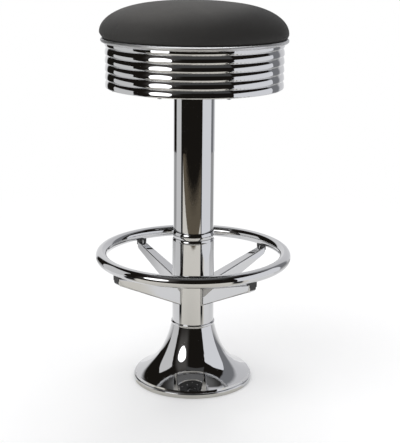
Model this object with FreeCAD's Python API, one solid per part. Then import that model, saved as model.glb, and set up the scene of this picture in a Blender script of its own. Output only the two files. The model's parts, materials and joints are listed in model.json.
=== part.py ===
import FreeCAD, Part
import math
import os

from FreeCAD import Vector

# Diner counter stool with a fixed chrome pedestal and a swivelling round seat.
# Millimetres, +Z up, origin on the floor at the axis of the column.

# Driving dimensions
TOTAL_HEIGHT = 762.0

BELL_RADIUS = 120.7
BELL_TOP = 123.4
BELL_WALL = 1.5
FLARE_INSET = 8.5
FLARE_SCALE = 5316.0
FLARE_SHIFT = 35.3

FLANGE_RADIUS = 104.0
FLANGE_THICK = 8.0
ANCHOR_PCD = 160.0
ANCHOR_COUNT = 4
ANCHOR_HOLE_R = 5.5

POST_RADIUS = 30.15
POST_WALL = 4.0
POST_TOP = 520.0

SLEEVE_RADIUS = 42.0
SLEEVE_WALL = 3.0
SLEEVE_BOTTOM = 120.0
SLEEVE_TOP = 292.0

TUBE_RADIUS = 40.3
TUBE_WALL = 2.0
TUBE_BOTTOM = 311.9
TUBE_TOP = 582.0

RING_RADIUS = 184.4
RING_TUBE_R = 11.6
RING_WALL = 1.8
RING_Z = 261.5

ARM_HUB_WIDTH = 25.0
ARM_TIP_WIDTH = 17.5
ARM_WALL = 2.0
ARM_TIP = 185.5
ARM_HUB_BOTTOM = 165.1
ARM_BOTTOM_SLOPE = 0.468
ARM_HUB_TOP = 202.8
ARM_TOP_SLOPE = 0.307
ARM_ANGLES = {
    "back_right": 37.6,
    "back_left": 127.6,
    "front_left": 217.6,
    "front_right": 307.6,
}

HOUSING_TOP = 588.0
SHAFT_RADIUS = 12.5
RUNNING_GAP = 0.05

BEARING_WIDTH = 15.0
BEARING_OUTER_R = 26.0
BALL_RADIUS = 3.97
BALL_PITCH_R = 19.25
BALL_COUNT = 9
TRACK_GAP = 0.28

BAND_RADIUS = 172.4
BAND_SHEET = 1.2
BAND_BOTTOM = 599.4
BAND_TOP = 693.0
GROOVE_COUNT = 5
GROOVE_TOP_Z = 675.9
GROOVE_R = 0.8
GROOVE_SETBACK = 1.7
RIB_FACE_R = 24.8
RIB_LIP_R = 4.5
LAST_RIB_FACE_R = 19.0
BEAD_OUTER_R = 180.5
BEAD_R = 3.7

PLATE_SIDE = 160.0
PLATE_THICK = 5.0
BOARD_THICK = 15.0
BOARD_RADIUS = 168.0
CUSHION_BOARD_THICK = 12.0
CUSHION_BOARD_RADIUS = 167.8

CUSHION_RADIUS = 180.9
CUSHION_WIDEST_Z = 702.0
DOME_SIDE_POWER = 2.95
DOME_TOP_POWER = 1.97
COVER_THICK = 1.4
STAPLE_COUNT = 24

# Heights that follow from the driving dimensions
BOARD_BOTTOM = BAND_BOTTOM + BAND_SHEET
BOARD_TOP = BOARD_BOTTOM + BOARD_THICK
PLATE_BOTTOM = BOARD_BOTTOM - PLATE_THICK
CUSHION_BOARD_BOTTOM = BAND_TOP - CUSHION_BOARD_THICK
BEARING_BOTTOM = HOUSING_TOP - BEARING_WIDTH

AXIS = Vector(0, 0, 1)
ORIGIN = Vector(0, 0, 0)


def point(radius, height):
    return Vector(radius, 0, height)


def polar(radius, angle, height=0.0):
    turn = math.radians(angle)
    return Vector(radius * math.cos(turn), radius * math.sin(turn), height)


def even_angles(count, first=0.0):
    return [first + 360.0 * index / count for index in range(count)]


def turned(shape, angle):
    copy = shape.copy()
    copy.rotate(ORIGIN, AXIS, angle)
    return copy


def rod(radius, bottom, top, x=0.0, y=0.0):
    return Part.makeCylinder(radius, top - bottom, Vector(x, y, bottom))


def tube(outer, inner, bottom, top):
    return rod(outer, bottom, top).cut(rod(inner, bottom, top))


def revolve_edges(edges):
    wire = Part.Wire(Part.__sortEdges__(edges))
    return Part.Face(wire).revolve(ORIGIN, AXIS, 360)


def revolve_outline(outline):
    corners = [point(radius, height) for radius, height in outline]
    return Part.Face(Part.makePolygon(corners + corners[:1])).revolve(ORIGIN, AXIS, 360)


def line(start, end):
    return Part.makeLine(start, end)


def arc(start, middle, end):
    return Part.Arc(start, middle, end).toShape()


def spline(points, first=None, last=None):
    curve = Part.BSplineCurve()
    if first is None:
        curve.interpolate(points)
    else:
        curve.interpolate(Points=points, InitialTangent=first, FinalTangent=last)
    return curve.toShape()


def joined(shapes):
    whole = shapes[0]
    for shape in shapes[1:]:
        whole = whole.fuse(shape)
    return whole.removeSplitter()


def cut_all(shape, tools):
    for tool in tools:
        shape = shape.cut(tool)
    return shape


def group(shapes):
    return Part.makeCompound(shapes)


def hex_prism(across_flats, bottom, top):
    corner = across_flats / math.sqrt(3.0)
    corners = [polar(corner, angle, bottom) for angle in even_angles(6, 30.0)]
    face = Part.Face(Part.makePolygon(corners + corners[:1]))
    return face.extrude(Vector(0, 0, top - bottom))


# Bell base: a spun shell whose outside follows a hyperbola
BELL_NECK_FROM = 117.5
BELL_NECK_TO = 118.4
BELL_NECK_PLAY = 0.15
BELL_FLARE_FROM = 14.0
BELL_FLARE_POINTS = 9
BELL_CROWDING = 1.6
BELL_LIP_TOP = 9.8
BELL_LIP_ROUND = 3.2
BELL_CREASE_OUT = 0.7
BELL_CREASE_UP = 1.2
BELL_RIM_STEP = 3.0


def flare_radius(height):
    return FLARE_INSET + FLARE_SCALE / (height + FLARE_SHIFT)


def flare_points(inward):
    points = []
    span = BELL_NECK_FROM - BELL_FLARE_FROM
    for index in range(BELL_FLARE_POINTS):
        # Points crowd towards the rim, where the flare bends most
        share = (index / (BELL_FLARE_POINTS - 1)) ** BELL_CROWDING
        height = BELL_FLARE_FROM + span * share
        slope = -FLARE_SCALE / (height + FLARE_SHIFT) ** 2
        length = math.hypot(1.0, slope)
        radius = flare_radius(height) - inward / length
        points.append(point(radius, height + inward * slope / length))
    return points


def base_bell():
    wall = BELL_WALL
    outside = flare_points(0.0)
    inside = flare_points(wall)
    neck_r = outside[-1].x
    bead_r = (BELL_TOP - BELL_NECK_TO) / 2.0
    neck_top = point(neck_r, BELL_NECK_TO)
    bead_side = point(neck_r + bead_r / 2.0, BELL_NECK_TO + bead_r)
    bead_top = point(neck_r, BELL_TOP)
    inner_neck = SLEEVE_RADIUS + BELL_NECK_PLAY
    crease = point(outside[0].x + BELL_CREASE_OUT, BELL_LIP_TOP + BELL_CREASE_UP)
    lip_centre = point(BELL_RADIUS - BELL_LIP_ROUND, BELL_LIP_TOP - BELL_LIP_ROUND)
    lip_start = point(lip_centre.x, BELL_LIP_TOP)
    lip_corner = lip_centre + point(BELL_LIP_ROUND, BELL_LIP_ROUND) * math.sqrt(0.5)
    lip_side = point(BELL_RADIUS, lip_centre.z)
    rim = point(BELL_RADIUS, 0)
    rim_inner = point(BELL_RADIUS - 2.0 * wall, 0)
    rim_step = point(BELL_RADIUS - 2.0 * wall, BELL_LIP_TOP - BELL_RIM_STEP)
    edges = [
        spline(outside),
        line(outside[-1], neck_top),
        arc(neck_top, bead_side, bead_top),
        line(bead_top, point(inner_neck, BELL_TOP)),
        line(point(inner_neck, BELL_TOP), point(inner_neck, BELL_NECK_TO)),
        line(point(inner_neck, BELL_NECK_TO), inside[-1]),
        spline(inside),
        line(inside[0], rim_step),
        line(rim_step, rim_inner),
        line(rim_inner, rim),
        line(rim, lip_side),
        arc(lip_side, lip_corner, lip_start),
        line(lip_start, crease),
        line(crease, outside[0]),
    ]
    return revolve_edges(edges)


# Hidden core of the pedestal
GUSSET_THICK = 5.0
GUSSET_REACH = 65.0
GUSSET_TOP = 48.0
GUSSET_TOE = 6.0
GUSSET_HEAD = 8.0
COLLAR_RADIUS = 41.5
COLLAR_THICK = 8.0
LOWER_BUSH_HEIGHT = 22.0
JOINT_BUSH_RUN = 20.0
GRUB_RADIUS = 3.0
GRUB_Z = 507.0
GRUB_INNER_END = 20.0
GRUB_PROUD = 0.5
GRUB_SOCKET_FLATS = 3.0
GRUB_SOCKET_FLOOR = 28.15
GRUB_ANGLES = even_angles(3, 90.0)
HOLE_PLAY = 0.05
DRILL_OVERRUN = 2.0


def floor_flange():
    plate = rod(FLANGE_RADIUS, 0, FLANGE_THICK)
    holes = []
    for angle in even_angles(ANCHOR_COUNT, 45.0):
        centre = polar(ANCHOR_PCD / 2.0, angle)
        holes.append(rod(ANCHOR_HOLE_R, 0, FLANGE_THICK, centre.x, centre.y))
    post_bore = rod(POST_RADIUS - POST_WALL, 0, FLANGE_THICK)
    return cut_all(plate, holes + [post_bore])


def flange_gussets():
    corners = [
        point(POST_RADIUS, FLANGE_THICK),
        point(GUSSET_REACH, FLANGE_THICK),
        point(GUSSET_REACH, FLANGE_THICK + GUSSET_TOE),
        point(POST_RADIUS + GUSSET_HEAD, GUSSET_TOP),
        point(POST_RADIUS, GUSSET_TOP),
    ]
    face = Part.Face(Part.makePolygon(corners + corners[:1]))
    face.translate(Vector(0, -GUSSET_THICK / 2.0, 0))
    web = face.extrude(Vector(0, GUSSET_THICK, 0)).cut(rod(POST_RADIUS, 0, POST_TOP))
    return group([turned(web, angle) for angle in even_angles(4)])


def grub_rod(radius, inner, outer):
    return Part.makeCylinder(radius, outer - inner, Vector(inner, 0, GRUB_Z), Vector(1, 0, 0))


def inner_post():
    post = tube(POST_RADIUS, POST_RADIUS - POST_WALL, FLANGE_THICK, POST_TOP)
    hole = grub_rod(GRUB_RADIUS + HOLE_PLAY, GRUB_INNER_END, POST_RADIUS + DRILL_OVERRUN)
    return cut_all(post, [turned(hole, angle) for angle in GRUB_ANGLES])


def housing_grub_screws():
    screw = grub_rod(GRUB_RADIUS, GRUB_INNER_END, POST_RADIUS + GRUB_PROUD)
    socket = hex_prism(GRUB_SOCKET_FLATS, GRUB_SOCKET_FLOOR, POST_RADIUS + DRILL_OVERRUN)
    socket.rotate(ORIGIN, Vector(0, 1, 0), 90)
    socket.translate(Vector(0, 0, GRUB_Z))
    screw = screw.cut(socket)
    return group([turned(screw, angle) for angle in GRUB_ANGLES])


def support_collar():
    return tube(COLLAR_RADIUS, POST_RADIUS, SLEEVE_BOTTOM - COLLAR_THICK, SLEEVE_BOTTOM)


def lower_centring_bush():
    outer = SLEEVE_RADIUS - SLEEVE_WALL
    return tube(outer, POST_RADIUS, SLEEVE_BOTTOM, SLEEVE_BOTTOM + LOWER_BUSH_HEIGHT)


def joint_bush():
    wide = SLEEVE_RADIUS - SLEEVE_WALL
    slim = TUBE_RADIUS - TUBE_WALL
    return revolve_outline([
        (POST_RADIUS, SLEEVE_TOP - JOINT_BUSH_RUN),
        (wide, SLEEVE_TOP - JOINT_BUSH_RUN),
        (wide, SLEEVE_TOP),
        (slim, SLEEVE_TOP),
        (slim, TUBE_BOTTOM + JOINT_BUSH_RUN),
        (POST_RADIUS, TUBE_BOTTOM + JOINT_BUSH_RUN),
    ])


# Chrome column
JOINT_SHOULDER = 1.5
JOINT_COVE_RISE = 4.0
JOINT_COVE_DEPTH = 1.25
JOINT_GROOVE_RISE = 7.5
JOINT_GROOVE_DEPTH = 1.7


def hub_sleeve():
    return tube(SLEEVE_RADIUS, SLEEVE_RADIUS - SLEEVE_WALL, SLEEVE_BOTTOM, SLEEVE_TOP)


def joint_ring():
    bore = TUBE_RADIUS - TUBE_WALL
    start = point(SLEEVE_RADIUS, SLEEVE_TOP)
    shoulder = start + point(0, JOINT_SHOULDER)
    cove_mid = start + point(-JOINT_COVE_DEPTH, JOINT_COVE_RISE)
    groove = start + point(-JOINT_GROOVE_DEPTH, JOINT_GROOVE_RISE)
    bead_mid = point(SLEEVE_RADIUS, (groove.z + TUBE_BOTTOM) / 2.0)
    bead_end = point(TUBE_RADIUS, TUBE_BOTTOM)
    edges = [
        line(start, shoulder),
        arc(shoulder, cove_mid, groove),
        arc(groove, bead_mid, bead_end),
        line(bead_end, point(bore, TUBE_BOTTOM)),
        line(point(bore, TUBE_BOTTOM), point(bore, SLEEVE_TOP)),
        line(point(bore, SLEEVE_TOP), start),
    ]
    return revolve_edges(edges)


def upper_tube():
    return tube(TUBE_RADIUS, TUBE_RADIUS - TUBE_WALL, TUBE_BOTTOM, TUBE_TOP)


# Foot ring and its four tapered arms
ARM_EDGE_R = 2.6
ARM_LEAST_EDGE_R = 0.6
ARM_TIP_CORNER_R = 9.0
ARM_ROOT = SLEEVE_RADIUS - 8.0
ARM_OVERRUN = 4.0
PLUG_DEPTH = 31.0
PLUG_PLAY = 0.1
PLUG_PROUD = 1.0
SADDLE_START = 177.0
SADDLE_LINK_Z = 240.0
SADDLE_TOP = RING_Z - 7.5
SCREW_START = 171.5
RING_SCREW_R = 3.0
RING_SCREW_END = 33.0
RING_SCREW_HEAD_R = 5.0
RING_SCREW_HEAD_TOP = 7.5
RING_SCREW_HEAD_THICK = 3.5
RING_SCREW_PLAY = 0.2
RING_HOLE_START = 20.0
ACCESS_HOLE_R = 5.6
ACCESS_HOLE_START = -8.0


def arm_bottom(reach):
    return ARM_HUB_BOTTOM + ARM_BOTTOM_SLOPE * (reach - SLEEVE_RADIUS)


def arm_top(reach):
    return ARM_HUB_TOP + ARM_TOP_SLOPE * (reach - SLEEVE_RADIUS)


def arm_width(reach):
    share = (reach - SLEEVE_RADIUS) / (ARM_TIP - SLEEVE_RADIUS)
    return ARM_HUB_WIDTH + (ARM_TIP_WIDTH - ARM_HUB_WIDTH) * share


def side_face(corners):
    # A side view held in the middle plane of an arm, ready to be drawn out both ways
    face = Part.Face(Part.makePolygon(corners + corners[:1]))
    face.translate(Vector(0, -ARM_HUB_WIDTH / 2.0, 0))
    return face.extrude(Vector(0, ARM_HUB_WIDTH, 0))


def plan_wedge(start, end, inset):
    near = arm_width(start) / 2.0 - inset
    far = arm_width(end) / 2.0 - inset
    corners = [Vector(start, -near, 0), Vector(end, -far, 0), Vector(end, far, 0), Vector(start, near, 0)]
    return Part.Face(Part.makePolygon(corners + corners[:1])).extrude(Vector(0, 0, POST_TOP))


def middle_tangent(edge):
    return edge.tangentAt((edge.FirstParameter + edge.LastParameter) / 2.0)


def arm_prism(start, end, inset, corner_r=0.0):
    low_end = point(end, arm_bottom(end) + inset)
    prism = side_face([
        point(start, arm_bottom(start) + inset),
        low_end,
        point(end, arm_top(end) - inset),
        point(start, arm_top(start) - inset),
    ])
    if corner_r > 0.0:
        ends = [edge for edge in prism.Edges if edge.CenterOfMass.distanceToPoint(low_end) < ARM_LEAST_EDGE_R]
        prism = prism.makeFillet(corner_r, ends)
    prism = prism.common(plan_wedge(start, end, inset))
    long_edges = [edge for edge in prism.Edges if abs(middle_tangent(edge).x) > 0.25]
    return prism.makeFillet(max(ARM_EDGE_R - inset, ARM_LEAST_EDGE_R), long_edges)


def screw_path():
    start = point(SCREW_START, arm_bottom(SCREW_START))
    return start, (point(RING_RADIUS, RING_Z) - start).normalize()


def along_screw(radius, start, end):
    foot, direction = screw_path()
    return Part.makeCylinder(radius, end - start, foot + direction * start, direction)


def screw_holes():
    # A wide hole for the head from below, then a close one for the shank
    access = along_screw(ACCESS_HOLE_R, ACCESS_HOLE_START, RING_SCREW_HEAD_TOP)
    shank = along_screw(RING_SCREW_R + RING_SCREW_PLAY, 0.0, RING_SCREW_END)
    return [access, shank]


def foot_ring_torus(radius):
    return Part.makeTorus(RING_RADIUS, radius, Vector(0, 0, RING_Z))


def ring_arm(angle):
    outside = arm_prism(ARM_ROOT, ARM_TIP, 0.0, ARM_TIP_CORNER_R)
    inside = arm_prism(ARM_ROOT, ARM_TIP + ARM_OVERRUN, ARM_WALL)
    arm = outside.cut(inside).cut(rod(SLEEVE_RADIUS, 0, POST_TOP))
    return turned(cut_all(arm, screw_holes()), angle)


def arm_plug(angle):
    # The plug fills the open end of the arm, and its saddle lies on top, under the ring
    tip = ARM_TIP + PLUG_PROUD
    core = arm_prism(ARM_TIP - PLUG_DEPTH, tip, ARM_WALL + PLUG_PLAY)
    core = core.common(arm_prism(ARM_ROOT, tip, 0.0, ARM_TIP_CORNER_R))
    saddle = side_face([
        point(SADDLE_START, arm_top(SADDLE_START)),
        point(ARM_TIP, arm_top(ARM_TIP)),
        point(ARM_TIP, SADDLE_LINK_Z),
        point(tip, SADDLE_LINK_Z),
        point(tip, SADDLE_TOP),
        point(SADDLE_START, SADDLE_TOP),
    ]).common(plan_wedge(SADDLE_START, tip, 0.0))
    plug = joined([core, saddle]).cut(foot_ring_torus(RING_TUBE_R))
    return turned(cut_all(plug, screw_holes()), angle)


def foot_ring():
    ring = foot_ring_torus(RING_TUBE_R).cut(foot_ring_torus(RING_TUBE_R - RING_WALL))
    hole = along_screw(RING_SCREW_R + HOLE_PLAY, RING_HOLE_START, RING_SCREW_END)
    return cut_all(ring, [turned(hole, angle) for angle in ARM_ANGLES.values()])


def ring_screws():
    head_top = RING_SCREW_HEAD_TOP
    shank = along_screw(RING_SCREW_R, head_top, RING_SCREW_END)
    head = along_screw(RING_SCREW_HEAD_R, head_top - RING_SCREW_HEAD_THICK, head_top)
    screw = joined([shank, head])
    return group([turned(screw, angle) for angle in ARM_ANGLES.values()])


# Swivel: the bearing housing on the post and the spindle that turns in it
HOUSING_BODY_R = 36.0
HOUSING_SPIGOT_BOTTOM = 495.0
HOUSING_PILOT = 6.0
HOUSING_RELIEF = 0.3
HOUSING_CHAMFER = 1.0
BUSH_TOP = 535.0
BUSH_OUTER_R = 17.0
SPINDLE_BOTTOM = 488.0
SPINDLE_CHAMFER = 1.0
CLIP_GROOVE_R = 11.7
CLIP_BOTTOM = 491.5
CLIP_THICK = 1.5
CLIP_RIM = 3.0
CLIP_GAP = 7.0
THRUST_RADIUS = 24.0
THRUST_GAP = 0.3
RACE_INNER_EDGE = 16.1
RACE_OUTER_EDGE = 22.4
CAGE_HALF_WALL = 1.1
CAGE_HALF_HEIGHT = 5.6
CAGE_POCKET_PLAY = 0.15
SHIELD_GAP = 0.3
SHIELD_DROP = 0.6
SHIELD_THICK = 1.0
SPINDLE_FLANGE_R = 34.0
SPINDLE_BOSS_R = 15.8
SPINDLE_LIFT = 1.5


def bearing_housing():
    spigot_r = POST_RADIUS - POST_WALL
    bore_r = RACE_OUTER_EDGE + HOUSING_RELIEF
    body = revolve_outline([
        (spigot_r, HOUSING_SPIGOT_BOTTOM),
        (spigot_r, POST_TOP),
        (HOUSING_BODY_R, POST_TOP),
        (HOUSING_BODY_R, TUBE_TOP - HOUSING_PILOT),
        (TUBE_RADIUS - TUBE_WALL, TUBE_TOP - HOUSING_PILOT),
        (TUBE_RADIUS - TUBE_WALL, TUBE_TOP),
        (TUBE_RADIUS, TUBE_TOP),
        (TUBE_RADIUS, HOUSING_TOP - HOUSING_CHAMFER),
        (TUBE_RADIUS - HOUSING_CHAMFER, HOUSING_TOP),
        (BEARING_OUTER_R, HOUSING_TOP),
        (BEARING_OUTER_R, BEARING_BOTTOM),
        (bore_r, BEARING_BOTTOM),
        (bore_r, BUSH_TOP),
        (BUSH_OUTER_R, BUSH_TOP),
        (BUSH_OUTER_R, HOUSING_SPIGOT_BOTTOM),
    ])
    hole = grub_rod(GRUB_RADIUS + HOLE_PLAY, GRUB_INNER_END, POST_RADIUS)
    return cut_all(body, [turned(hole, angle) for angle in GRUB_ANGLES])


def lower_bush():
    return tube(BUSH_OUTER_R, SHAFT_RADIUS + RUNNING_GAP, HOUSING_SPIGOT_BOTTOM, BUSH_TOP)


def ball_track():
    middle = BEARING_BOTTOM + BEARING_WIDTH / 2.0
    return Part.makeTorus(BALL_PITCH_R, BALL_RADIUS + TRACK_GAP, Vector(0, 0, middle))


def bearing_outer_race():
    ring = tube(BEARING_OUTER_R, RACE_OUTER_EDGE, BEARING_BOTTOM, HOUSING_TOP)
    return ring.cut(ball_track())


def bearing_inner_race():
    ring = tube(RACE_INNER_EDGE, SHAFT_RADIUS, BEARING_BOTTOM, HOUSING_TOP)
    return ring.cut(ball_track())


def ball_angles():
    return even_angles(BALL_COUNT, 20.0)


def bearing_balls():
    middle = BEARING_BOTTOM + BEARING_WIDTH / 2.0
    centres = [polar(BALL_PITCH_R, angle, middle) for angle in ball_angles()]
    return group([Part.makeSphere(BALL_RADIUS, centre) for centre in centres])


def bearing_cage():
    # A band with one round pocket, drilled from the side, for each ball
    middle = BEARING_BOTTOM + BEARING_WIDTH / 2.0
    outer = BALL_PITCH_R + CAGE_HALF_WALL
    inner = BALL_PITCH_R - CAGE_HALF_WALL
    cage = tube(outer, inner, middle - CAGE_HALF_HEIGHT, middle + CAGE_HALF_HEIGHT)
    start = Vector(BALL_PITCH_R - BALL_RADIUS, 0, middle)
    pocket_r = BALL_RADIUS + CAGE_POCKET_PLAY
    pocket = Part.makeCylinder(pocket_r, 2.0 * BALL_RADIUS, start, Vector(1, 0, 0))
    return cut_all(cage, [turned(pocket, angle) for angle in ball_angles()])


def bearing_shield():
    top = HOUSING_TOP - SHIELD_DROP
    return tube(RACE_OUTER_EDGE, RACE_INNER_EDGE + SHIELD_GAP, top - SHIELD_THICK, top)


def spindle():
    clip_top = CLIP_BOTTOM + CLIP_THICK
    return revolve_outline([
        (0.0, SPINDLE_BOTTOM),
        (SHAFT_RADIUS - SPINDLE_CHAMFER, SPINDLE_BOTTOM),
        (SHAFT_RADIUS, SPINDLE_BOTTOM + SPINDLE_CHAMFER),
        (SHAFT_RADIUS, CLIP_BOTTOM),
        (CLIP_GROOVE_R, CLIP_BOTTOM),
        (CLIP_GROOVE_R, clip_top),
        (SHAFT_RADIUS, clip_top),
        (SHAFT_RADIUS, HOUSING_TOP),
        (SPINDLE_BOSS_R, HOUSING_TOP),
        (SPINDLE_BOSS_R, HOUSING_TOP + SPINDLE_LIFT),
        (SPINDLE_FLANGE_R, HOUSING_TOP + SPINDLE_LIFT),
        (SPINDLE_FLANGE_R, PLATE_BOTTOM),
        (0.0, PLATE_BOTTOM),
    ])


def spindle_clip():
    outer = SHAFT_RADIUS + CLIP_RIM
    ring = tube(outer, CLIP_GROOVE_R, CLIP_BOTTOM, CLIP_BOTTOM + CLIP_THICK)
    gap = Part.makeBox(outer, CLIP_GAP, CLIP_THICK, Vector(0, -CLIP_GAP / 2.0, CLIP_BOTTOM))
    return ring.cut(gap)


def thrust_washer():
    bottom = CLIP_BOTTOM + CLIP_THICK
    return tube(THRUST_RADIUS, SHAFT_RADIUS + HOLE_PLAY, bottom, HOUSING_SPIGOT_BOTTOM - THRUST_GAP)


# Seat frame
PLATE_CORNER_R = 18.0
PLATE_BOLT_OFFSET = 60.0
PLATE_BOLT_R = 4.0
PLATE_BOLT_FLATS = 13.0
PLATE_BOLT_HEAD = 5.3
PLATE_BOLT_PROUD = 2.5
PLATE_HOLE_PLAY = 0.5
PLATE_WASHER_R = 8.0
PLATE_WASHER_THICK = 1.5
TEE_FLANGE_R = 11.0
TEE_FLANGE_THICK = 1.5
TEE_BARREL_R = 5.5
TEE_BARREL_LENGTH = 9.6
BOARD_CHAMFER = 2.5
RISER_SIDE = 40.0
RISER_REACH = 112.0
RISER_BOLT_R = 3.0
RISER_BOLT_HEAD = 4.0
RISER_BOLT_FLATS = 10.0
RISER_BOLT_SUNK = 1.0
RISER_BOLT_DROP = 1.5
RISER_HOLE_PLAY = 0.3
RISER_SINK_R = 8.0
SMALL_TEE_FLANGE_R = 9.0
SMALL_TEE_FLANGE_THICK = 1.2
SMALL_TEE_BARREL_R = 4.5
SMALL_TEE_BARREL_LENGTH = 8.0
BAND_SCREW_COUNT = 8
BAND_SCREW_REACH = 163.0
BAND_SCREW_R = 2.0
BAND_SCREW_PLAY = 0.2
BAND_SCREW_LENGTH = 12.0
BAND_SCREW_HEAD_R = 4.0
BAND_SCREW_HEAD = 2.2
BAND_FLANGE_INNER_R = 157.0


def plate_bolt_places():
    side = PLATE_BOLT_OFFSET
    return [(side, side), (-side, side), (-side, -side), (side, -side)]


def riser_places():
    return [polar(RISER_REACH, angle) for angle in even_angles(4)]


def band_screw_places():
    return [polar(BAND_SCREW_REACH, angle) for angle in even_angles(BAND_SCREW_COUNT, 22.5)]


def moved(shape, x, y):
    copy = shape.copy()
    copy.translate(Vector(x, y, 0))
    return copy


def swivel_plate():
    half = PLATE_SIDE / 2.0
    plate = Part.makeBox(PLATE_SIDE, PLATE_SIDE, PLATE_THICK, Vector(-half, -half, PLATE_BOTTOM))
    corners = [edge for edge in plate.Edges if abs(edge.tangentAt(edge.FirstParameter).z) > 0.5]
    plate = plate.makeFillet(PLATE_CORNER_R, corners)
    hole = rod(PLATE_BOLT_R + PLATE_HOLE_PLAY, PLATE_BOTTOM, BOARD_BOTTOM)
    return cut_all(plate, [moved(hole, x, y) for x, y in plate_bolt_places()])


def plate_bolts():
    head_top = PLATE_BOTTOM - PLATE_WASHER_THICK
    head = hex_prism(PLATE_BOLT_FLATS, head_top - PLATE_BOLT_HEAD, head_top)
    bolt = joined([head, rod(PLATE_BOLT_R, head_top, BOARD_TOP + PLATE_BOLT_PROUD)])
    return group([moved(bolt, x, y) for x, y in plate_bolt_places()])


def plate_washers():
    bottom = PLATE_BOTTOM - PLATE_WASHER_THICK
    washer = tube(PLATE_WASHER_R, PLATE_BOLT_R + HOLE_PLAY, bottom, PLATE_BOTTOM)
    return group([moved(washer, x, y) for x, y in plate_bolt_places()])


def tee_nut(bolt_r, barrel_r, barrel_length, flange_r, flange_thick, seat_z):
    barrel = rod(barrel_r, seat_z - barrel_length, seat_z)
    flange = rod(flange_r, seat_z, seat_z + flange_thick)
    bore = rod(bolt_r + HOLE_PLAY, seat_z - barrel_length, seat_z + flange_thick)
    return joined([barrel, flange]).cut(bore)


def plate_tee_nuts():
    flange = (TEE_FLANGE_R, TEE_FLANGE_THICK)
    nut = tee_nut(PLATE_BOLT_R, TEE_BARREL_R, TEE_BARREL_LENGTH, *flange, BOARD_TOP)
    return group([moved(nut, x, y) for x, y in plate_bolt_places()])


def seat_board():
    board = rod(BOARD_RADIUS, BOARD_BOTTOM, BOARD_TOP)
    bottom_edge = [edge for edge in board.Edges if abs(edge.CenterOfMass.z - BOARD_BOTTOM) < 0.01]
    board = board.makeChamfer(BOARD_CHAMFER, bottom_edge)
    sink_top = BOARD_BOTTOM + RISER_BOLT_HEAD + RISER_BOLT_SUNK
    screw_end = BOARD_BOTTOM + BAND_SCREW_LENGTH
    tools = []
    for x, y in plate_bolt_places():
        tools.append(rod(PLATE_BOLT_R + PLATE_HOLE_PLAY, BOARD_BOTTOM, BOARD_TOP, x, y))
        tools.append(rod(TEE_BARREL_R, BOARD_TOP - TEE_BARREL_LENGTH, BOARD_TOP, x, y))
    for place in riser_places():
        tools.append(rod(RISER_BOLT_R + RISER_HOLE_PLAY, BOARD_BOTTOM, BOARD_TOP, place.x, place.y))
        tools.append(rod(RISER_SINK_R, BOARD_BOTTOM, sink_top, place.x, place.y))
    for place in band_screw_places():
        tools.append(rod(BAND_SCREW_R, BOARD_BOTTOM, screw_end, place.x, place.y))
    return cut_all(board, tools)


def riser_blocks():
    half = RISER_SIDE / 2.0
    height = CUSHION_BOARD_BOTTOM - BOARD_TOP
    block = Part.makeBox(RISER_SIDE, RISER_SIDE, height, Vector(-half, -half, BOARD_TOP))
    block = block.cut(rod(RISER_BOLT_R + RISER_HOLE_PLAY, BOARD_TOP, CUSHION_BOARD_BOTTOM))
    return group([moved(block, place.x, place.y) for place in riser_places()])


def riser_bolts():
    head_bottom = BOARD_BOTTOM + RISER_BOLT_SUNK
    head_top = head_bottom + RISER_BOLT_HEAD
    head = hex_prism(RISER_BOLT_FLATS, head_bottom, head_top)
    bolt = joined([head, rod(RISER_BOLT_R, head_top, BAND_TOP - RISER_BOLT_DROP)])
    return group([moved(bolt, place.x, place.y) for place in riser_places()])


def cushion_tee_nuts():
    barrel = (SMALL_TEE_BARREL_R, SMALL_TEE_BARREL_LENGTH)
    flange = (SMALL_TEE_FLANGE_R, SMALL_TEE_FLANGE_THICK)
    nut = tee_nut(RISER_BOLT_R, *barrel, *flange, BAND_TOP - SMALL_TEE_FLANGE_THICK)
    return group([moved(nut, place.x, place.y) for place in riser_places()])


# Ribbed band: a pressed steel ring with a rolled top edge. The ribs bulge outwards and lean back
# towards the top, and five narrow grooves part them.
BAND_CORNER_R = 2.0
NECK_TOP = 684.0
BEAD_ROOT_OUT = 1.6
BEAD_ROOT_DOWN = 2.4
BEAD_ROOT_IN = 3.3
BEAD_ROOT_UP = 0.6


def rib_lean(bulge_r):
    # Angle at which a bulge of this radius runs into the groove
    return math.acos((bulge_r - GROOVE_SETBACK) / (bulge_r + GROOVE_R))


def rib_rise(bulge_r):
    # Height between the middle of a groove and the crest of a bulge of this radius
    return (bulge_r + GROOVE_R) * math.sin(rib_lean(bulge_r))


def on_circle(centre, radius, angle):
    return centre + point(math.cos(angle), math.sin(angle)) * radius


def groove_edges(inward, middle, face_r):
    # The lip of the rib above, the groove, then the face of the rib below
    crest = BAND_RADIUS - inward
    lip_lean = rib_lean(RIB_LIP_R)
    face_lean = rib_lean(face_r)
    lip_z = middle + rib_rise(RIB_LIP_R)
    face_z = middle - rib_rise(face_r)
    lip = point(BAND_RADIUS - RIB_LIP_R, lip_z)
    groove = point(BAND_RADIUS - GROOVE_SETBACK, middle)
    face = point(BAND_RADIUS - face_r, face_z)
    lip_end = on_circle(lip, RIB_LIP_R - inward, -lip_lean)
    face_start = on_circle(face, face_r - inward, face_lean)
    return [
        arc(point(crest, lip_z), on_circle(lip, RIB_LIP_R - inward, -lip_lean / 2.0), lip_end),
        arc(lip_end, groove - point(GROOVE_R + inward, 0), face_start),
        arc(face_start, on_circle(face, face_r - inward, face_lean / 2.0), point(crest, face_z)),
    ]


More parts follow.
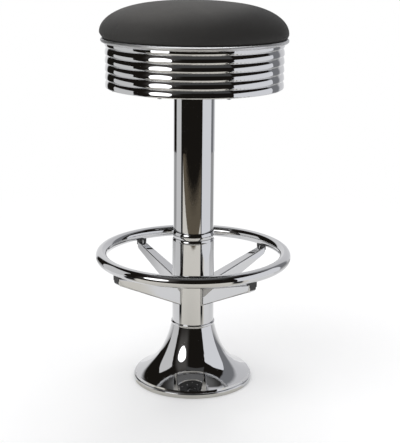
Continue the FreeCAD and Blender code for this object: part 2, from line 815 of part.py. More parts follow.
def band_side(inward, top, bottom):
    crest = BAND_RADIUS - inward
    pitch = rib_rise(RIB_LIP_R) + rib_rise(RIB_FACE_R)
    edges = [line(point(crest, top), point(crest, GROOVE_TOP_Z + rib_rise(RIB_LIP_R)))]
    for index in range(GROOVE_COUNT - 1):
        edges += groove_edges(inward, GROOVE_TOP_Z - pitch * index, RIB_FACE_R)
    last = GROOVE_TOP_Z - pitch * (GROOVE_COUNT - 1)
    edges += groove_edges(inward, last, LAST_RIB_FACE_R)
    edges.append(line(point(crest, last - rib_rise(LAST_RIB_FACE_R)), point(crest, bottom)))
    return edges


def seat_band():
    outer = BAND_RADIUS
    inner = BAND_RADIUS - BAND_SHEET
    corner_z = BAND_BOTTOM + BAND_CORNER_R
    corner_r = outer - BAND_CORNER_R
    diagonal = math.sqrt(0.5)
    inner_bend = BAND_CORNER_R - BAND_SHEET
    bead_r = BEAD_OUTER_R - BEAD_R
    flare_outer = point(bead_r - BEAD_ROOT_OUT, BAND_TOP - BEAD_R - BEAD_ROOT_DOWN)
    flare_inner = point(bead_r - BEAD_ROOT_IN, BAND_TOP - BEAD_R + BEAD_ROOT_UP)
    outer_mid = point(corner_r + BAND_CORNER_R * diagonal, corner_z - BAND_CORNER_R * diagonal)
    inner_mid = point(corner_r + inner_bend * diagonal, corner_z - inner_bend * diagonal)
    edges = band_side(0.0, NECK_TOP, corner_z)
    edges += [
        arc(point(outer, corner_z), outer_mid, point(corner_r, BAND_BOTTOM)),
        line(point(corner_r, BAND_BOTTOM), point(BAND_FLANGE_INNER_R, BAND_BOTTOM)),
        line(point(BAND_FLANGE_INNER_R, BAND_BOTTOM), point(BAND_FLANGE_INNER_R, BOARD_BOTTOM)),
        line(point(BAND_FLANGE_INNER_R, BOARD_BOTTOM), point(corner_r, BOARD_BOTTOM)),
        arc(point(corner_r, BOARD_BOTTOM), inner_mid, point(inner, corner_z)),
    ]
    edges += band_side(BAND_SHEET, NECK_TOP, corner_z)
    edges += [
        line(point(inner, NECK_TOP), flare_inner),
        line(flare_inner, flare_outer),
        line(flare_outer, point(outer, NECK_TOP)),
    ]
    sheet = revolve_edges(edges)
    bead = Part.makeTorus(bead_r, BEAD_R, Vector(0, 0, BAND_TOP - BEAD_R))
    holes = []
    for place in band_screw_places():
        holes.append(rod(BAND_SCREW_R + BAND_SCREW_PLAY, BAND_BOTTOM, BOARD_BOTTOM, place.x, place.y))
    return cut_all(joined([sheet, bead]), holes)


def band_screws():
    head = rod(BAND_SCREW_HEAD_R, BAND_BOTTOM - BAND_SCREW_HEAD, BAND_BOTTOM)
    screw = joined([head, rod(BAND_SCREW_R, BAND_BOTTOM, BOARD_BOTTOM + BAND_SCREW_LENGTH)])
    return group([moved(screw, place.x, place.y) for place in band_screw_places()])


# Cushion: foam on a board, under a cover that is pulled round and stapled
COVER_HEM_INNER_R = 145.0
COVER_HEM_Z = CUSHION_BOARD_BOTTOM - COVER_THICK
COVER_WAIST_R = CUSHION_BOARD_RADIUS + COVER_THICK
TUCK_RADIUS = 176.5
TUCK_BULGE_IN = 0.9
TUCK_BULGE_DOWN = 4.8
STAPLE_REACH = 156.0
STAPLE_WIDTH = 9.2
STAPLE_WIRE_WIDE = 1.2
STAPLE_WIRE_THICK = 0.8
STAPLE_CROWN_THICK = 0.6
STAPLE_LEG = 7.4
DOME_SHARES = (0.0, 0.25, 0.45, 0.62, 0.76, 0.86, 0.93, 0.975, 1.0)


def dome_edge(inset):
    radius = CUSHION_RADIUS - inset
    rise = TOTAL_HEIGHT - CUSHION_WIDEST_Z - inset
    points = []
    for share in DOME_SHARES:
        lift = (1.0 - share ** DOME_SIDE_POWER) ** (1.0 / DOME_TOP_POWER)
        points.append(point(radius * share, CUSHION_WIDEST_Z + rise * lift))
    return spline(points, Vector(1, 0, 0), Vector(0, 0, -1))


def tuck_edge(inset, bottom):
    side = point(CUSHION_RADIUS - inset, CUSHION_WIDEST_Z)
    middle = side - point(TUCK_BULGE_IN, TUCK_BULGE_DOWN)
    return arc(side, middle, point(TUCK_RADIUS - inset, bottom))


def cushion_foam():
    base = BAND_TOP
    low = base + COVER_THICK
    centre = point(0, base)
    board_edge = point(CUSHION_BOARD_RADIUS, base)
    tuck_end = point(TUCK_RADIUS - COVER_THICK, low)
    edges = [
        dome_edge(COVER_THICK),
        tuck_edge(COVER_THICK, low),
        line(tuck_end, board_edge),
        line(board_edge, centre),
        line(centre, point(0, TOTAL_HEIGHT - COVER_THICK)),
    ]
    return revolve_edges(edges)


def staple_places():
    return even_angles(STAPLE_COUNT, 180.0 / STAPLE_COUNT)


def staple_box(side, width, bottom, top):
    corner = Vector(STAPLE_REACH, side, bottom)
    return Part.makeBox(STAPLE_WIRE_WIDE, width, top - bottom, corner)


def staple_legs():
    legs = []
    half = STAPLE_WIDTH / 2.0
    for side in (-half, half - STAPLE_WIRE_THICK):
        leg = staple_box(side, STAPLE_WIRE_THICK, COVER_HEM_Z, COVER_HEM_Z + STAPLE_LEG)
        legs += [turned(leg, angle) for angle in staple_places()]
    return legs


def cushion_board():
    board = rod(CUSHION_BOARD_RADIUS, CUSHION_BOARD_BOTTOM, BAND_TOP)
    flange_seat = BAND_TOP - SMALL_TEE_FLANGE_THICK
    barrel_end = flange_seat - SMALL_TEE_BARREL_LENGTH
    tools = staple_legs()
    for place in riser_places():
        bolt_hole_r = RISER_BOLT_R + RISER_HOLE_PLAY
        tools.append(rod(bolt_hole_r, CUSHION_BOARD_BOTTOM, BAND_TOP, place.x, place.y))
        tools.append(rod(SMALL_TEE_BARREL_R, barrel_end, BAND_TOP, place.x, place.y))
        tools.append(rod(SMALL_TEE_FLANGE_R, flange_seat, BAND_TOP, place.x, place.y))
    return cut_all(board, tools)


def cushion_cover():
    hem_end = point(COVER_HEM_INNER_R, COVER_HEM_Z)
    hem_step = point(COVER_HEM_INNER_R, CUSHION_BOARD_BOTTOM)
    waist_low = point(COVER_WAIST_R, COVER_HEM_Z)
    waist_high = point(COVER_WAIST_R, BAND_TOP)
    centre = point(0, CUSHION_BOARD_BOTTOM)
    edges = [
        dome_edge(0.0),
        tuck_edge(0.0, BAND_TOP),
        line(point(TUCK_RADIUS, BAND_TOP), waist_high),
        line(waist_high, waist_low),
        line(waist_low, hem_end),
        line(hem_end, hem_step),
        line(hem_step, centre),
        line(centre, point(0, TOTAL_HEIGHT)),
    ]
    skin = revolve_edges(edges).cut(cushion_foam())
    skin = skin.cut(rod(CUSHION_BOARD_RADIUS, CUSHION_BOARD_BOTTOM, BAND_TOP))
    return cut_all(skin, staple_legs())


def cover_staples():
    bottom = COVER_HEM_Z - STAPLE_CROWN_THICK
    crown = staple_box(-STAPLE_WIDTH / 2.0, STAPLE_WIDTH, bottom, COVER_HEM_Z)
    legs = staple_legs()
    staples = []
    for index, angle in enumerate(staple_places()):
        pair = [legs[index], legs[index + STAPLE_COUNT]]
        staples.append(joined([turned(crown, angle)] + pair))
    return group(staples)


PIECES = {
    "base_bell": base_bell,
    "floor_flange": floor_flange,
    "flange_gussets": flange_gussets,
    "inner_post": inner_post,
    "support_collar": support_collar,
    "lower_centring_bush": lower_centring_bush,
    "hub_sleeve": hub_sleeve,
    "joint_bush": joint_bush,
    "joint_ring": joint_ring,
    "upper_tube": upper_tube,
    "foot_ring": foot_ring,
    "ring_screws": ring_screws,
    "bearing_housing": bearing_housing,
    "housing_grub_screws": housing_grub_screws,
    "lower_bush": lower_bush,
    "bearing_outer_race": bearing_outer_race,
    "bearing_shield": bearing_shield,
    "bearing_balls": bearing_balls,
    "bearing_cage": bearing_cage,
    "bearing_inner_race": bearing_inner_race,
    "spindle": spindle,
    "spindle_clip": spindle_clip,
    "thrust_washer": thrust_washer,
    "swivel_plate": swivel_plate,
    "plate_bolts": plate_bolts,
    "plate_washers": plate_washers,
    "plate_tee_nuts": plate_tee_nuts,
    "seat_board": seat_board,
    "riser_blocks": riser_blocks,
    "riser_bolts": riser_bolts,
    "cushion_tee_nuts": cushion_tee_nuts,
    "seat_band": seat_band,
    "band_screws": band_screws,
    "cushion_board": cushion_board,
    "cushion_foam": cushion_foam,
    "cushion_cover": cushion_cover,
    "cover_staples": cover_staples,
}


def save(shape, node):
    volume = shape.Volume / 1000.0
    print(f"{node:22s} solids {len(shape.Solids):2d}  valid {shape.isValid()}  {volume:9.2f} cm3")
    shape.exportStep("parts/" + node + ".step")


def main():
    os.makedirs("parts", exist_ok=True)
    for node, make in PIECES.items():
        save(make(), node)
    for corner, angle in ARM_ANGLES.items():
        save(ring_arm(angle), "ring_arm_" + corner)
        save(arm_plug(angle), "arm_plug_" + corner)


main()
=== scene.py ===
import json
import math

import bmesh
import bpy
from mathutils import Matrix, Vector


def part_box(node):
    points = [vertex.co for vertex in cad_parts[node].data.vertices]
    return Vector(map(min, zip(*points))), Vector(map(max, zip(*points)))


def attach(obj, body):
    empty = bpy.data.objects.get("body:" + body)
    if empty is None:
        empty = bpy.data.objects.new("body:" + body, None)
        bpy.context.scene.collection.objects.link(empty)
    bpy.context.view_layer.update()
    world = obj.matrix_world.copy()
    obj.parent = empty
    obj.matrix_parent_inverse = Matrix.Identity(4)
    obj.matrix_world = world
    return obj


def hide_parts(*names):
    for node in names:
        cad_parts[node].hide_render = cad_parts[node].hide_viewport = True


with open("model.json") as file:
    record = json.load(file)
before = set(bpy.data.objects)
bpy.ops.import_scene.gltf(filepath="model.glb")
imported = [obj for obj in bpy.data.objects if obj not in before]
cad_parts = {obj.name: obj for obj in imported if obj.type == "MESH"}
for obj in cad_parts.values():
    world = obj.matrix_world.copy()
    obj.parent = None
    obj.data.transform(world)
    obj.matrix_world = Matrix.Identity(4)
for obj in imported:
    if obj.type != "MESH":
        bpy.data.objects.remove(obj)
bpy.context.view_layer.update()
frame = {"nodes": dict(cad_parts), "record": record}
cad = frame["nodes"]
MM = 0.001


# Camera: placed and turned as it was for the photograph, which is 400 by 443 pixels

IMAGE_HEIGHT = 443
FOCAL_PIXELS = 1086.59
CAMERA_DISTANCE = 2.0983
CAMERA_HEIGHT = 0.8873
CAMERA_PITCH = math.radians(14.894)
CAMERA_YAW = math.radians(0.3544)
CAMERA_ROLL = math.radians(0.5081)
SENSOR_MM = 36.0
SIGHT_LIMIT = 50.0


def make_camera():
    data = bpy.data.cameras.new("camera")
    data.sensor_fit = "VERTICAL"
    data.sensor_height = SENSOR_MM
    data.lens = FOCAL_PIXELS * SENSOR_MM / IMAGE_HEIGHT
    data.clip_end = SIGHT_LIMIT
    camera = bpy.data.objects.new("camera", data)
    bpy.context.scene.collection.objects.link(camera)
    level = math.cos(CAMERA_PITCH)
    forward = Vector((math.sin(CAMERA_YAW) * level, math.cos(CAMERA_YAW) * level, -math.sin(CAMERA_PITCH)))
    right = Vector((math.cos(CAMERA_YAW), -math.sin(CAMERA_YAW), 0.0))
    up = right.cross(forward)
    tilted_right = right * math.cos(CAMERA_ROLL) + up * math.sin(CAMERA_ROLL)
    tilted_up = up * math.cos(CAMERA_ROLL) - right * math.sin(CAMERA_ROLL)
    turn = Matrix((tilted_right, tilted_up, -forward)).transposed()
    camera.matrix_world = Matrix.Translation((0.0, -CAMERA_DISTANCE, CAMERA_HEIGHT)) @ turn.to_4x4()
    bpy.context.scene.camera = camera


# Colours, in linear light

def grey(level):
    return (level, level, level, 1.0)


def colour(red, green, blue):
    return (red, green, blue, 1.0)


# Node helpers: each adds nodes to a tree, and most return the output socket of the last

def add(tree, kind, **settings):
    node = tree.nodes.new(kind)
    for name, value in settings.items():
        setattr(node, name, value)
    return node


def feed(tree, socket, value):
    """Puts a number, a colour or another node's output into a socket."""
    if isinstance(value, bpy.types.NodeSocket):
        tree.links.new(value, socket)
    else:
        socket.default_value = value


def math_node(tree, operation, first, second=0.0):
    node = add(tree, "ShaderNodeMath", operation=operation)
    feed(tree, node.inputs[0], first)
    feed(tree, node.inputs[1], second)
    return node.outputs[0]


def sum_of_squares(tree, first, second):
    return math_node(tree, "ADD", math_node(tree, "MULTIPLY", first, first),
                     math_node(tree, "MULTIPLY", second, second))


def spread(tree, value, source, target=(0.0, 1.0), smooth=False):
    """Maps the source range to the target range, and holds the ends."""
    node = add(tree, "ShaderNodeMapRange", clamp=True)
    node.interpolation_type = "SMOOTHSTEP" if smooth else "LINEAR"
    for socket, number in zip(node.inputs, (value, *source, *target)):
        feed(tree, socket, number)
    return node.outputs[0]


def between(tree, value, limits, soft):
    """1 between the limits and 0 outside them, with soft edges."""
    low, high = limits
    rise = spread(tree, value, (low - soft, low + soft), smooth=True)
    fall = spread(tree, value, (high - soft, high + soft), (1.0, 0.0), smooth=True)
    return math_node(tree, "MULTIPLY", rise, fall)


def mix(tree, share, first, second):
    node = add(tree, "ShaderNodeMix", data_type="RGBA")
    feed(tree, node.inputs[0], share)
    feed(tree, node.inputs[6], first)
    feed(tree, node.inputs[7], second)
    return node.outputs[2]


def separate(tree, vector):
    """The x, y and z outputs of a vector."""
    node = add(tree, "ShaderNodeSeparateXYZ")
    feed(tree, node.inputs[0], vector)
    return node.outputs


def object_place(tree):
    return add(tree, "ShaderNodeTexCoord").outputs["Object"]


def azimuth_of(tree, x, y):
    """Degrees round the column, from the camera's side towards the right."""
    return math_node(tree, "DEGREES", math_node(tree, "ARCTAN2", x, math_node(tree, "MULTIPLY", y, -1.0)))


def round_place(tree, place):
    """Turns x, y, z into arc length round the axis, distance from it, and height."""
    x, y, z = separate(tree, place)
    radius = math_node(tree, "SQRT", sum_of_squares(tree, x, y))
    angle = math_node(tree, "ARCTAN2", x, y)
    node = add(tree, "ShaderNodeCombineXYZ")
    feed(tree, node.inputs[0], math_node(tree, "MULTIPLY", angle, radius))
    feed(tree, node.inputs[1], radius)
    feed(tree, node.inputs[2], z)
    return node.outputs[0]


def stretched(tree, place, scale):
    node = add(tree, "ShaderNodeMapping")
    feed(tree, node.inputs["Vector"], place)
    node.inputs["Scale"].default_value = scale
    return node.outputs[0]


def facing_up(tree):
    """How far the surface looks up, from -1 to 1."""
    return separate(tree, add(tree, "ShaderNodeNewGeometry").outputs["Normal"])[2]


def noise(tree, place, per_metre, detail=3.0, roughness=0.5, distortion=0.0):
    node = add(tree, "ShaderNodeTexNoise")
    feed(tree, node.inputs["Vector"], place)
    node.inputs["Scale"].default_value = per_metre
    node.inputs["Detail"].default_value = detail
    node.inputs["Roughness"].default_value = roughness
    node.inputs["Distortion"].default_value = distortion
    return node.outputs[0]


def cells(tree, place, per_metre, feature="F1"):
    node = add(tree, "ShaderNodeTexVoronoi", feature=feature)
    feed(tree, node.inputs["Vector"], place)
    node.inputs["Scale"].default_value = per_metre
    return node.outputs["Distance"]


def bump(tree, height, depth, below=None):
    node = add(tree, "ShaderNodeBump")
    node.inputs["Strength"].default_value = 1.0
    node.inputs["Distance"].default_value = depth
    feed(tree, node.inputs["Height"], height)
    if below is not None:
        feed(tree, node.inputs["Normal"], below)
    return node.outputs[0]


def blank_material(name):
    material = bpy.data.materials.new(name)
    material.use_nodes = True
    tree = material.node_tree
    tree.nodes.clear()
    return material, tree, add(tree, "ShaderNodeOutputMaterial").inputs["Surface"]


def new_material(name):
    material, tree, surface = blank_material(name)
    shader = add(tree, "ShaderNodeBsdfPrincipled")
    tree.links.new(shader.outputs[0], surface)
    return material, tree, shader


def see_through(tree, clear, shown, surface):
    """Lets what lies behind a shader through, by the share that is clear."""
    blend = add(tree, "ShaderNodeMixShader")
    feed(tree, blend.inputs[0], clear)
    tree.links.new(shown, blend.inputs[1])
    tree.links.new(add(tree, "ShaderNodeBsdfTransparent").outputs[0], blend.inputs[2])
    tree.links.new(blend.outputs[0], surface)


# World: plain white to the camera and for soft light, and a dark studio with pale walls for reflections

BACKDROP_WHITE = grey(1.0)
SOFT_LIGHT = grey(0.765)
ROOM = colour(0.014, 0.012, 0.010)

# Azimuths, elevations and the softness of the edges are in degrees
WALLS = {
    "ceiling": dict(azimuths=(-150, 150), elevations=(64, 95), soft=8.0, tone=grey(0.17)),
    "left_glow": dict(azimuths=(-62, -22), elevations=(6, 60), soft=9.0, tone=colour(0.11, 0.105, 0.10)),
    "right_side": dict(azimuths=(112, 140), elevations=(-16, 58), soft=2.5, tone=colour(0.26, 0.265, 0.28)),
    "backdrop_left": dict(azimuths=(-190, -148), elevations=(-60, 72), soft=3.0,
                          tone=colour(0.92, 0.92, 0.93)),
    "backdrop_right": dict(azimuths=(138, 190), elevations=(-60, 72), soft=4.0,
                           tone=colour(0.80, 0.80, 0.82)),
}


def studio_colour(tree):
    x, y, z = separate(tree, add(tree, "ShaderNodeTexCoord").outputs["Generated"])
    azimuth = azimuth_of(tree, x, y)
    elevation = math_node(tree, "DEGREES", math_node(tree, "ARCSINE", z))
    seen = ROOM
    for wall in WALLS.values():
        across = between(tree, azimuth, wall["azimuths"], wall["soft"])
        upward = between(tree, elevation, wall["elevations"], wall["soft"])
        seen = mix(tree, math_node(tree, "MULTIPLY", across, upward), seen, wall["tone"])
    return seen


def make_world():
    world = bpy.data.worlds.new("studio")
    world.use_nodes = True
    world.cycles.sampling_method = "NONE"
    bpy.context.scene.world = world
    tree = world.node_tree
    tree.nodes.clear()
    rays = add(tree, "ShaderNodeLightPath").outputs
    lit = mix(tree, rays["Is Glossy Ray"], SOFT_LIGHT, studio_colour(tree))
    shown = mix(tree, rays["Is Camera Ray"], lit, BACKDROP_WHITE)
    background = add(tree, "ShaderNodeBackground")
    feed(tree, background.inputs["Color"], shown)
    output = add(tree, "ShaderNodeOutputWorld")
    tree.links.new(background.outputs[0], output.inputs[0])


def mesh_object(name, build, material):
    """Turns a bmesh into an object of one material."""
    mesh = bpy.data.meshes.new(name)
    build.to_mesh(mesh)
    build.free()
    mesh.materials.append(material)
    piece = bpy.data.objects.new(name, mesh)
    bpy.context.scene.collection.objects.link(piece)
    return piece


# Floor: a pale round sheet that fades into the white. Reflections alone show it warmer in front, brown
# further forwards, darker at the sides and almost black in a narrow gap at each side of the front.

FLOOR_RADIUS = 2.4
FLOOR_SEGMENTS = 96
FLOOR_TONE = colour(0.985, 0.985, 0.99)
FLOOR_ROUGHNESS = 0.9
# Distances from the column between which the floor fades for the camera, and forwards in reflections
FLOOR_FADE = (0.75, 1.7)
MIRRORED_FADE = (1.3, 1.9)
WARM_TONE = colour(0.90, 0.87, 0.80)
WARM_SECTOR = (-75, 60)
SIDE_TONE = grey(0.42)
SIDE_SECTORS = ((-147, -113), (98, 146))
SIDE_FROM = (0.4, 1.3)
BROWN_TONE = colour(0.15, 0.125, 0.09)
BROWN_FROM = (0.99, 1.03)
GAP_TONE = grey(0.02)
GAP_SECTORS = ((-78, -63), (41, 53))
GAP_FROM = (0.30, 0.45)
SECTOR_SOFT = 2.0


def in_sectors(tree, azimuth, sectors):
    share = 0.0
    for limits in sectors:
        share = math_node(tree, "MAXIMUM", share, between(tree, azimuth, limits, SECTOR_SOFT))
    return share


def floor_material():
    material, tree, surface = blank_material("floor")
    shader = add(tree, "ShaderNodeBsdfPrincipled")
    shader.inputs["Roughness"].default_value = FLOOR_ROUGHNESS
    shader.inputs["Specular IOR Level"].default_value = 0.0
    place = object_place(tree)
    x, y = separate(tree, place)[:2]
    azimuth = azimuth_of(tree, x, y)
    ahead = math_node(tree, "MULTIPLY", y, -1.0)
    radius = separate(tree, round_place(tree, place))[1]
    mirrored = add(tree, "ShaderNodeLightPath").outputs["Is Glossy Ray"]
    sides = in_sectors(tree, azimuth, SIDE_SECTORS)
    gaps = in_sectors(tree, azimuth, GAP_SECTORS)
    layers = (
        (between(tree, azimuth, WARM_SECTOR, SECTOR_SOFT), WARM_TONE),
        (math_node(tree, "MULTIPLY", sides, spread(tree, radius, SIDE_FROM)), SIDE_TONE),
        (spread(tree, ahead, BROWN_FROM), BROWN_TONE),
        (math_node(tree, "MULTIPLY", gaps, spread(tree, radius, GAP_FROM)), GAP_TONE),
    )
    tone = FLOOR_TONE
    for share, layer_tone in layers:
        tone = mix(tree, math_node(tree, "MULTIPLY", share, mirrored), tone, layer_tone)
    feed(tree, shader.inputs["Base Color"], tone)
    fade = spread(tree, radius, FLOOR_FADE, smooth=True)
    mirrored_fade = spread(tree, ahead, MIRRORED_FADE, smooth=True)
    see_through(tree, mix(tree, mirrored, fade, mirrored_fade), shader.outputs[0], surface)
    return material


def make_floor():
    build = bmesh.new()
    bmesh.ops.create_circle(build, cap_ends=True, segments=FLOOR_SEGMENTS, radius=FLOOR_RADIUS)
    floor = mesh_object("floor", build, floor_material())


# Cards: two reflector cards, a dim card in front of the seat and a softbox, which show in reflections alone.
# The azimuth and the distance place a card's middle. A low squareness rounds it, and soft is the share of it
# over which its edge fades.

CARDS = {
    "left_card": dict(azimuth=-93.0, distance=0.709, width=0.488, bottom=0.0, top=0.70,
                      tone=grey(0.84), squareness=30.0, soft=0.25),
    "right_card": dict(azimuth=77.5, distance=0.853, width=1.045, bottom=0.0, top=0.81,
                       tone=colour(1.03, 1.04, 1.08), squareness=40.0, soft=0.25),
    "front_card": dict(azimuth=10.0, distance=0.62, width=0.86, bottom=0.84, top=1.16,
                       tone=grey(0.085), squareness=12.0, soft=0.5),
    "softbox": dict(azimuth=-41.0, distance=1.25, width=0.68, bottom=0.45, top=1.10,
                    tone=grey(3.2), squareness=2.2, soft=0.2),
}


def card_material(name, half_width, half_height, tone, squareness, soft):
    material, tree, surface = blank_material(name)
    material.cycles.emission_sampling = "NONE"
    place = separate(tree, object_place(tree))
    reach = []
    for axis, half in (("X", half_width), ("Z", half_height)):
        share = math_node(tree, "ABSOLUTE", math_node(tree, "DIVIDE", place[axis], half))
        reach.append(math_node(tree, "POWER", share, squareness))
    clear = spread(tree, math_node(tree, "ADD", *reach), (1.0 - soft, 1.0), smooth=True)
    light = add(tree, "ShaderNodeEmission")
    light.inputs["Color"].default_value = tone
    see_through(tree, clear, light.outputs[0], surface)
    return material


def make_card(name, azimuth, distance, width, bottom, top, tone, squareness, soft):
    half_width = width / 2.0
    half_height = (top - bottom) / 2.0
    corners = ((-half_width, -half_height), (half_width, -half_height),
               (half_width, half_height), (-half_width, half_height))
    build = bmesh.new()
    build.faces.new([build.verts.new((across, 0.0, upward)) for across, upward in corners])
    card = mesh_object(name, build, card_material(name, half_width, half_height, tone, squareness, soft))
    turn = math.radians(azimuth)
    card.location = (distance * math.sin(turn), -distance * math.cos(turn), bottom + half_height)
    card.rotation_euler = (0.0, 0.0, turn)
    card.visible_camera = False
    card.visible_diffuse = False
    card.visible_shadow = False


# Lamps: two wide soft ones for everything, and two that fall on one piece each

SUNS = {
    "left_lamp": dict(azimuth=-52.0, elevation=62.0, strength=0.45, width=34.0),
    "back_lamp": dict(azimuth=170.0, elevation=58.0, strength=0.70, width=40.0),
}
CUSHION_LAMP = dict(azimuth=-112.0, elevation=30.0, strength=1.0, width=70.0, mirrored=True)
OVERHEAD_HEIGHT = 1.72
OVERHEAD_AHEAD = 0.30
OVERHEAD_SIZE = 1.6
OVERHEAD_WATTS = 22.0


def lamp_object(name, kind, power):
    data = bpy.data.lights.new(name, kind)
    data.energy = power
    lamp = bpy.data.objects.new(name, data)
    bpy.context.scene.collection.objects.link(lamp)
    return lamp


def make_sun(name, azimuth, elevation, strength, width, mirrored=False):
    """A lamp as many degrees wide as its width, which shows in reflections only if it is mirrored."""
    lamp = lamp_object(name, "SUN", strength)
    lamp.data.angle = math.radians(width)
    lamp.rotation_euler = (math.radians(90.0 - elevation), 0.0, math.radians(azimuth))
    lamp.visible_glossy = mirrored
    return lamp


def make_overhead():
    """A round softbox over the seat."""
    lamp = lamp_object("overhead", "AREA", OVERHEAD_WATTS)
    lamp.data.shape = "DISK"
    lamp.data.size = OVERHEAD_SIZE
    lamp.location = (0.0, -OVERHEAD_AHEAD, OVERHEAD_HEIGHT)
    return lamp


def only_for(lamp, piece):
    """Lets a lamp fall on this piece alone."""
    lit = bpy.data.collections.new(lamp.name + "_pieces")
    lit.objects.link(piece)
    lamp.light_linking.receiver_collection = lit


# Materials

# The range that most values of a noise lie in
NOISE_RANGE = (0.3, 0.7)

CHROME = colour(0.575, 0.580, 0.592)
CHROME_WARM = colour(0.560, 0.560, 0.565)
CLEAN_TO_SMEARED = (0.018, 0.075)
HAIRLINE_ROUGHNESS = 0.05
SCUFFED_ROUGHNESS = 0.16
RUBBED_ROUGHNESS = 0.38
HAIRLINE_DEPTH = 0.0008 * MM
WAVE_DEPTH = 0.03 * MM
# How often the lines of each way of working the steel repeat per metre: round the axis, outwards and upwards
GRAINS = {
    "drawn": (900.0, 900.0, 9.0),
    "spun": (8.0, 1300.0, 1300.0),
    "rolled": (14.0, 500.0, 900.0),
}
SCUFF_GRAIN = (60.0, 700.0, 700.0)
# Clothes rub the rolled edge of the band satin
ROLLED_EDGE_BOTTOM = 685.8 * MM
ROLLED_EDGE_BLEND = 0.5 * MM


def shoe_scuffs(tree, turned):
    """Roughness that shoes add where the surface looks up."""
    scuffs = noise(tree, stretched(tree, turned, SCUFF_GRAIN), 1.0, detail=4.0, roughness=0.65)
    scuffed = spread(tree, scuffs, (0.50, 0.72), (0.0, SCUFFED_ROUGHNESS))
    return math_node(tree, "MULTIPLY", spread(tree, facing_up(tree), (0.45, 0.95), smooth=True), scuffed)


def rubbed_edge(tree, place, bottom):
    """Roughness that clothes add above a height."""
    heights = (bottom - ROLLED_EDGE_BLEND, bottom + ROLLED_EDGE_BLEND)
    return spread(tree, separate(tree, place)[2], heights, (0.0, RUBBED_ROUGHNESS))


def chrome(name, grain, stepped_on=False, rubbed_above=None):
    """Bright chrome plate with faint smears and the hairlines of its grain."""
    material, tree, shader = new_material(name)
    shader.inputs["Metallic"].default_value = 1.0
    place = object_place(tree)
    turned = round_place(tree, place)
    clouds = noise(tree, place, 9.0)
    feed(tree, shader.inputs["Base Color"], mix(tree, clouds, CHROME_WARM, CHROME))
    drawn_out = stretched(tree, place, (1.0, 1.0, 2.2))
    smears = noise(tree, drawn_out, 46.0, detail=4.0, roughness=0.6, distortion=0.8)
    lines = noise(tree, stretched(tree, turned, GRAINS[grain]), 1.0, detail=2.0, roughness=0.6)
    rough = math_node(tree, "ADD", spread(tree, smears, (0.42, 0.72), CLEAN_TO_SMEARED),
                      spread(tree, lines, (0.60, 0.78), (0.0, HAIRLINE_ROUGHNESS)))
    if stepped_on:
        rough = math_node(tree, "ADD", rough, shoe_scuffs(tree, turned))
    if rubbed_above:
        rough = math_node(tree, "ADD", rough, rubbed_edge(tree, place, rubbed_above))
    feed(tree, shader.inputs["Roughness"], rough)
    waves = bump(tree, noise(tree, place, 38.0, detail=1.0), WAVE_DEPTH)
    feed(tree, shader.inputs["Normal"], bump(tree, lines, HAIRLINE_DEPTH, waves))
    return material


def bare_metal(name, tone, dark, rough, brushed=(1.0, 1.0, 14.0), depth=0.02 * MM):
    """Machined, rolled or plated metal that isn't mirror bright."""
    material, tree, shader = new_material(name)
    shader.inputs["Metallic"].default_value = 1.0
    place = object_place(tree)
    blotches = noise(tree, place, 55.0, detail=5.0, roughness=0.6)
    strokes = noise(tree, stretched(tree, place, brushed), 130.0, detail=4.0, roughness=0.6)
    feed(tree, shader.inputs["Base Color"], mix(tree, spread(tree, blotches, (0.35, 0.7)), tone, dark))
    feed(tree, shader.inputs["Roughness"], spread(tree, strokes, NOISE_RANGE, (rough - 0.07, rough + 0.12)))
    feed(tree, shader.inputs["Normal"], bump(tree, strokes, depth))
    return material


def moulded(name, tone, light, rough, per_metre=1800.0, depth=0.03 * MM):
    """Plastic, rubber or paint with a fine texture and a little handling wear."""
    material, tree, shader = new_material(name)
    place = object_place(tree)
    clouds = noise(tree, place, 70.0, detail=4.0, roughness=0.6)
    skin = noise(tree, place, per_metre, detail=2.0)
    feed(tree, shader.inputs["Base Color"], mix(tree, spread(tree, clouds, (0.4, 0.75)), tone, light))
    feed(tree, shader.inputs["Roughness"], spread(tree, clouds, NOISE_RANGE, (rough - 0.06, rough + 0.08)))
    feed(tree, shader.inputs["Normal"], bump(tree, skin, depth))
    return material


PLY_THICK = 1.5 * MM
PLY_LINE = (0.6 * MM, 0.9 * MM)
FIBRE_DEPTH = 0.08 * MM


def plywood(name, pale, dark, edge_dark, rough):
    """Birch plies: long grain on the faces and thin alternating bands on the edges."""
    material, tree, shader = new_material(name)
    place = object_place(tree)
    height = separate(tree, place)[2]
    on_edge = spread(tree, math_node(tree, "ABSOLUTE", facing_up(tree)), (0.3, 0.7), (1.0, 0.0))
    long_grain = stretched(tree, place, (4.0, 90.0, 30.0))
    grain = noise(tree, long_grain, 3.5, detail=6.0, roughness=0.65, distortion=0.6)
    fibres = noise(tree, stretched(tree, place, (30.0, 700.0, 200.0)), 1.0, roughness=0.6)
    face = mix(tree, spread(tree, grain, (0.35, 0.68)), pale, dark)
    ply = math_node(tree, "PINGPONG", height, PLY_THICK)
    bands = mix(tree, spread(tree, ply, PLY_LINE), pale, edge_dark)
    tone = mix(tree, on_edge, face, bands)
    tone = mix(tree, spread(tree, fibres, (0.4, 0.8), (0.0, 0.35)), tone, dark)
    feed(tree, shader.inputs["Base Color"], tone)
    feed(tree, shader.inputs["Roughness"], spread(tree, fibres, NOISE_RANGE, (rough - 0.08, rough + 0.1)))
    feed(tree, shader.inputs["Normal"], bump(tree, fibres, FIBRE_DEPTH))
    return material


FOAM_FRESH = colour(0.86, 0.80, 0.60)
FOAM_YELLOWED = colour(0.74, 0.63, 0.38)
FOAM_PORES_PER_METRE = 900.0
FOAM_PORE_DEPTH = 0.4 * MM


